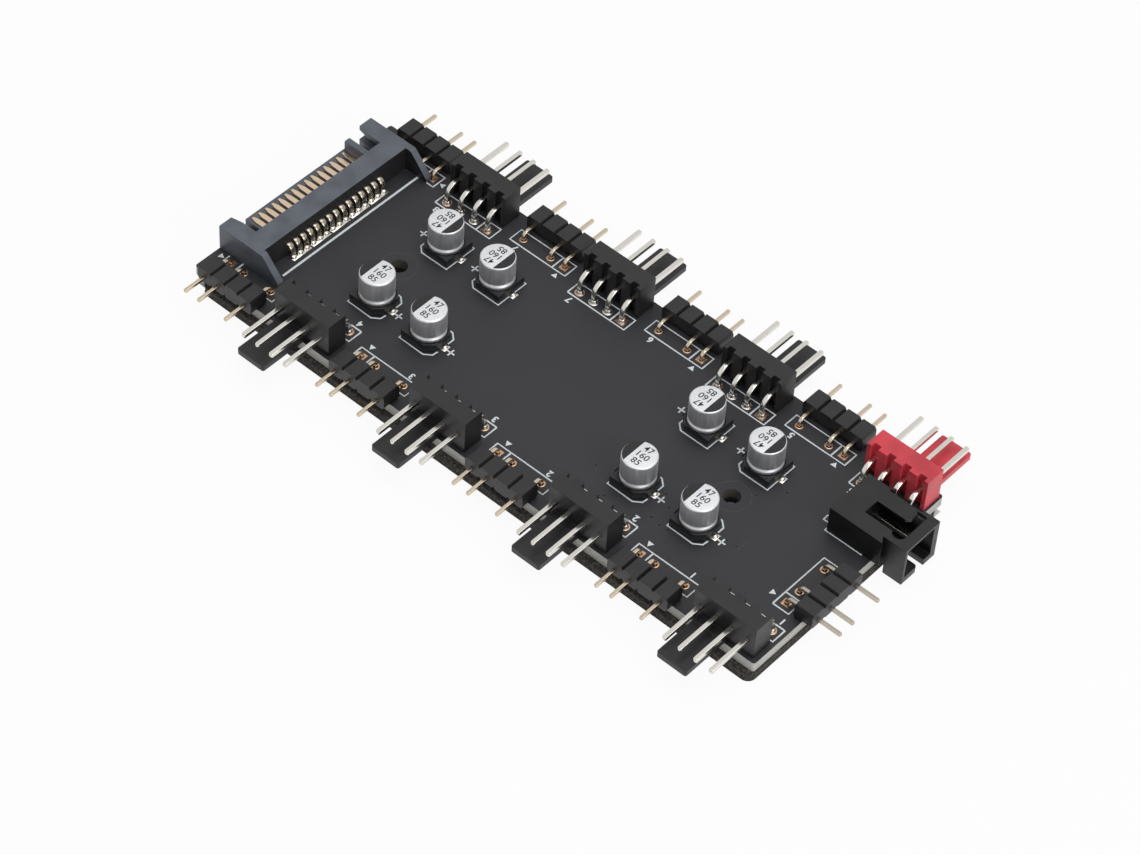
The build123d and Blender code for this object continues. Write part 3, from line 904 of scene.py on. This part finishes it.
class HUB_OT_light_headers(Operator):
    """Eight light headers and the input header, with pale gold pins"""

    bl_idname = "hub.light_headers"
    bl_label = "Light headers"

    def execute(self, context):
        look = settings("connectors")
        black = moulded("black_nylon_strip", look.black, 0.38, 0.5)
        gold = plated("pin_gold", look.gold, 0.16, 0.24, (1.0, 0.05, 0.5))
        tin = plated("input_tin", look.input_tin, 0.16, 0.24, (0.05, 1.0, 0.5))
        names = [(f"light_header_{number}", f"light_header_pins_{number}", gold) for number in NUMBERS]
        names.append(("input_header", "input_header_pins", tin))
        for strip, pins, metal in names:
            dressed(strip, f"{strip}_strip", black, look.low_edge)
            dressed(pins, f"{pins}_wire", metal, look.pin_edge)
        return {"FINISHED"}


class HUB_OT_latched_header(Operator):
    """Latched header: black shroud with its latch arm, and the pins inside"""

    bl_idname = "hub.latched_header"
    bl_label = "Latched header"

    def execute(self, context):
        look = settings("connectors")
        black = moulded("black_nylon_shroud", look.shroud, 0.32, 0.44)
        tin = plated("shroud_tin", look.tin, 0.14, 0.28, (0.05, 1.0, 0.5))
        dressed("latch_header", "latch_shroud", black, look.edge)
        dressed("latch_header_pins", "latch_pins", tin, look.pin_edge)
        return {"FINISHED"}


class HUB_OT_capacitors(Operator):
    """Eight electrolytic capacitors: rolled cans with a printed band on moulded bases"""

    bl_idname = "hub.capacitors"
    bl_label = "Capacitors"

    def execute(self, context):
        look = settings("capacitors")
        metal = can_metal()
        ink = can_ink()
        base = moulded("base_nylon", settings("connectors").black, 0.4, 0.52)
        for number in NUMBERS:
            node = f"capacitor_can_{number}"
            low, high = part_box(node)
            radius = (high.x - low.x) / 2
            foot = low.z - BOARD_TOP
            top = high.z - BOARD_TOP - look.print_height
            spot = capacitor_spot(number)
            can = bmesh.new()
            turned(can, self.can_outline(radius, foot, top, look), spot, steps=72)
            finished(outward(can), f"can_{number}", [metal], [node])
            dressed(f"capacitor_base_{number}", f"base_{number}", base, look.base_edge)
            marks = self.marks(radius, top, look)
            bmesh.ops.transform(marks, matrix=spot, verts=marks.verts)
            finished(marks, f"can_print_{number}", [ink])
        self.feet(look)
        return {"FINISHED"}

    def feet(self, look):
        """Leads and solder beside the bases: bright, and painted near black for the can's shade on the cans'
        -x side.
        """
        reach = 2.95 * MM
        lead_x = 3.0 * MM
        around = 0.6 * MM
        tin = tin_solder()
        # Painted shade: near black tin for the leads and joints that lie in the can's shade.
        shaded_leads = plated("tin_in_painted_shade", look.tarnish, 0.5, 0.6, (1.0, 1.0, 1.0))
        backs = [capacitor_spot(number).translation.x - lead_x for number in NUMBERS]

        def at_back(middle, normal):
            return any(abs(middle.x - back) < around for back in backs)

        leads = softened("capacitor_leads", settings("connectors").strip_edge, segments=1)
        given(leads, 1, at_back)
        finished(leads, "capacitor_feet", [tin, shaded_leads], ["capacitor_leads"], even=True)
        drop = [(0.45 * MM, 0.0), (0.36 * MM, 0.22 * MM), (0.2 * MM, 0.34 * MM), (0.0, 0.36 * MM)]
        joints = bmesh.new()
        for number in NUMBERS:
            for side in (-reach, reach):
                spot = shifted(capacitor_spot(number), side)
                low_pad(joints, spot, width=1.1 * MM, depth=1.2 * MM, height=0.06 * MM)
                turned(joints, drop, spot, steps=16)
        finished(given(outward(joints), 1, at_back), "capacitor_joints", [tin, shaded_leads])

    def can_outline(self, radius, foot, top, look):
        """Half section of the can: turned in lip, crimp groove, straight wall and rounded rim."""
        waist = radius - look.crimp
        shoulder = radius - 0.05 * MM
        middle = foot + 0.95 * MM
        lip = [(0.0, foot), (radius - 0.35 * MM, foot), (radius - 0.1 * MM, foot + 0.1 * MM)]
        lip.append((radius, foot + 0.28 * MM))
        bend = ((radius, 0.34 * MM), (shoulder, 0.22 * MM), (waist, 0.06 * MM))
        below = [(wide, middle - away) for wide, away in bend]
        above = [(wide, middle + away) for wide, away in reversed(bend)]
        rim = []
        steps = 6
        for step in range(steps + 1):
            angle = math.pi / 2 * step / steps
            across = radius - look.rim + look.rim * math.cos(angle)
            rim.append((across, top - look.rim + look.rim * math.sin(angle)))
        return lip + below + above + rim + [(0.0, top)]

    def marks(self, radius, top, look):
        """What is printed on a can's top: a band with three plain numbers beside it."""
        shape = bmesh.new()
        self.band(shape, radius - look.rim * 0.5, look, top)
        rows = ((look.upper_number, 1.35), (look.middle_number, 0.05), (look.lower_number, -1.25))
        for words, row in rows:
            spot = Matrix.Translation((0.35 * MM, row * MM, top))
            printed_text(shape, words, look, look.print_height, spot)
        return shape

    def band(self, shape, radius, look, top):
        """The inked band: a disc cut off along a chord, on the negative side."""
        bmesh.ops.create_circle(shape, cap_ends=True, radius=radius, segments=48)
        everything = shape.verts[:] + shape.edges[:] + shape.faces[:]
        chord = (-look.stripe, 0, 0)
        bmesh.ops.bisect_plane(shape, geom=everything, plane_co=chord, plane_no=(1, 0, 0), clear_outer=True)
        thickened(shape, shape.faces[:], look.print_height)
        bmesh.ops.translate(shape, vec=(0, 0, top), verts=shape.verts)
        bmesh.ops.recalc_face_normals(shape, faces=shape.faces)


class HUB_OT_stage(Operator):
    """Pale floor, camera at the product's usual angle and soft studio lamps"""

    bl_idname = "hub.stage"
    bl_label = "Stage"

    def execute(self, context):
        look = settings("stage")
        scene = context.scene
        self.floor(look)
        scene.camera = self.camera(look)
        self.lamp("overhead", look.key_power, size=0.7, place=(0.12, 0.1, 0.9))
        self.lamp("side", look.side_power, size=0.5, place=(0.75, -0.15, 0.45))
        scene.world = self.world(look)
        scene.view_settings.view_transform = "Standard"
        return {"FINISHED"}

    def floor(self, look):
        """The plain floor that the hub lies on."""
        shape = bmesh.new()
        bmesh.ops.create_grid(shape, x_segments=1, y_segments=1, size=3.0)
        floor = modelled(shape, "floor", [self.floor_material(look)])

    def camera(self, look):
        """The camera at the photograph's angle; its own right and up are given in the hub's axes."""
        data = bpy.data.cameras.new("camera")
        data.lens = look.focal
        data.sensor_width = 36.0
        data.clip_start = 0.01
        camera = linked("camera", data)
        right = Vector((0.74550632, 0.66479488, 0.04762462))
        up = Vector((-0.52042235, 0.53598504, 0.66474102))
        turn = Matrix((right, up, right.cross(up))).transposed().to_4x4()
        place = Matrix.Translation((0.21368, -0.26444, 0.37373))
        camera.matrix_world = place @ turn
        return camera

    def lamp(self, name, power, size, place):
        """A square soft lamp at a place, turned to the hub."""
        data = bpy.data.lights.new(name, "AREA")
        data.energy = power
        data.size = size
        lamp = linked(name, data)
        lamp.location = place
        lamp.rotation_euler = (-Vector(place)).to_track_quat("-Z", "Y").to_euler()

    def seen_plainly(self, tree):
        """One for rays that the camera, a gloss or a glass sends out, and none for the rest."""
        rays = add(tree, "ShaderNodeLightPath").outputs
        seen = {0: rays["Is Camera Ray"], 1: rays["Is Glossy Ray"]}
        first = add(tree, "ShaderNodeMath", seen, operation="MAXIMUM").outputs["Value"]
        both = {0: first, 1: rays["Is Transmission Ray"]}
        return add(tree, "ShaderNodeMath", both, operation="MAXIMUM").outputs["Value"]

    def floor_material(self, look):
        """Matt white sweep: it glows only for the eye, so that it stays white and keeps the shadow."""
        material = bpy.data.materials.new("white_sweep")
        material.use_nodes = True
        tree = material.node_tree
        tree.nodes.clear()
        paper = add(tree, "ShaderNodeBsdfDiffuse", {"Color": look.floor})
        glow = add(tree, "ShaderNodeEmission", {"Strength": 1.0})
        seen = {0: self.seen_plainly(tree), 1: look.floor_glow}
        part = add(tree, "ShaderNodeMath", seen, operation="MULTIPLY")
        open_floor = {0: part.outputs["Value"], 1: self.beside_board(tree)}
        bright = add(tree, "ShaderNodeMath", open_floor, operation="MULTIPLY")
        shown = {"Fac": bright.outputs["Value"], 1: paper.outputs["BSDF"], 2: glow.outputs["Emission"]}
        mixed = add(tree, "ShaderNodeMixShader", shown)
        add(tree, "ShaderNodeOutputMaterial", {"Surface": mixed.outputs["Shader"]})
        return material

    def beside_board(self, tree):
        """None under the board, where the floor shows through its holes, and one outside."""
        place = add(tree, "ShaderNodeTexCoord").outputs["Object"]
        axes = add(tree, "ShaderNodeSeparateXYZ", {"Vector": place}).outputs
        outside = []
        for axis, reach in (("X", BOARD_HIGH.x), ("Y", BOARD_HIGH.y)):
            away = add(tree, "ShaderNodeMath", {0: axes[axis]}, operation="ABSOLUTE").outputs["Value"]
            past = add(tree, "ShaderNodeMath", {0: away, 1: reach}, operation="GREATER_THAN")
            outside.append(past.outputs["Value"])
        either = add(tree, "ShaderNodeMath", {0: outside[0], 1: outside[1]}, operation="MAXIMUM")
        return either.outputs["Value"]

    def world(self, look):
        """Even light from all round, white where it is seen."""
        world = bpy.data.worlds.new("studio")
        world.use_nodes = True
        tree = world.node_tree
        tree.nodes.clear()
        soft = add(tree, "ShaderNodeBackground", {"Strength": look.sky})
        white = add(tree, "ShaderNodeBackground", {"Strength": 1.0})
        sides = {1: soft.outputs["Background"], 2: white.outputs["Background"]}
        mixed = add(tree, "ShaderNodeMixShader", {"Fac": self.seen_plainly(tree), **sides})
        add(tree, "ShaderNodeOutputWorld", {"Surface": mixed.outputs["Shader"]})
        return world


# Panel and registration


MAKERS = (
    HUB_OT_board,
    HUB_OT_copper,
    HUB_OT_print,
    HUB_OT_foam,
    HUB_OT_power_plug,
    HUB_OT_fan_headers,
    HUB_OT_light_headers,
    HUB_OT_latched_header,
    HUB_OT_capacitors,
    HUB_OT_stage,
)
LOOKS = {
    "hub_board": BoardLook,
    "hub_connectors": ConnectorLook,
    "hub_capacitors": CapacitorLook,
    "hub_stage": StageLook,
}


class HUB_PT_panel(Panel):
    """Sizes, colours and makers of the hub"""

    bl_idname = "HUB_PT_panel"
    bl_label = "Fan and Light Hub"
    bl_space_type = "VIEW_3D"
    bl_region_type = "UI"
    bl_category = "Fan Hub"

    def draw(self, context):
        for maker in MAKERS:
            self.layout.operator(maker.bl_idname)
        for name, look in LOOKS.items():
            box = self.layout.box()
            for field in look.__annotations__:
                box.prop(getattr(context.scene, name), field)


def register():
    for look in LOOKS.values():
        bpy.utils.register_class(look)
    for name, look in LOOKS.items():
        setattr(bpy.types.Scene, name, PointerProperty(type=look))
    for maker in MAKERS:
        bpy.utils.register_class(maker)
    bpy.utils.register_class(HUB_PT_panel)


def unregister():
    bpy.utils.unregister_class(HUB_PT_panel)
    for maker in reversed(MAKERS):
        bpy.utils.unregister_class(maker)
    for name in LOOKS:
        delattr(bpy.types.Scene, name)
    for look in LOOKS.values():
        bpy.utils.unregister_class(look)


def main():
    """Makes every piece and the stage."""
    register()
    bpy.ops.hub.board()
    bpy.ops.hub.copper()
    bpy.ops.hub.print()
    bpy.ops.hub.foam()
    bpy.ops.hub.power_plug()
    bpy.ops.hub.fan_headers()
    bpy.ops.hub.light_headers()
    bpy.ops.hub.latched_header()
    bpy.ops.hub.capacitors()
    bpy.ops.hub.stage()
    bpy.context.view_layer.update()


if __name__ == "__main__":
    main()
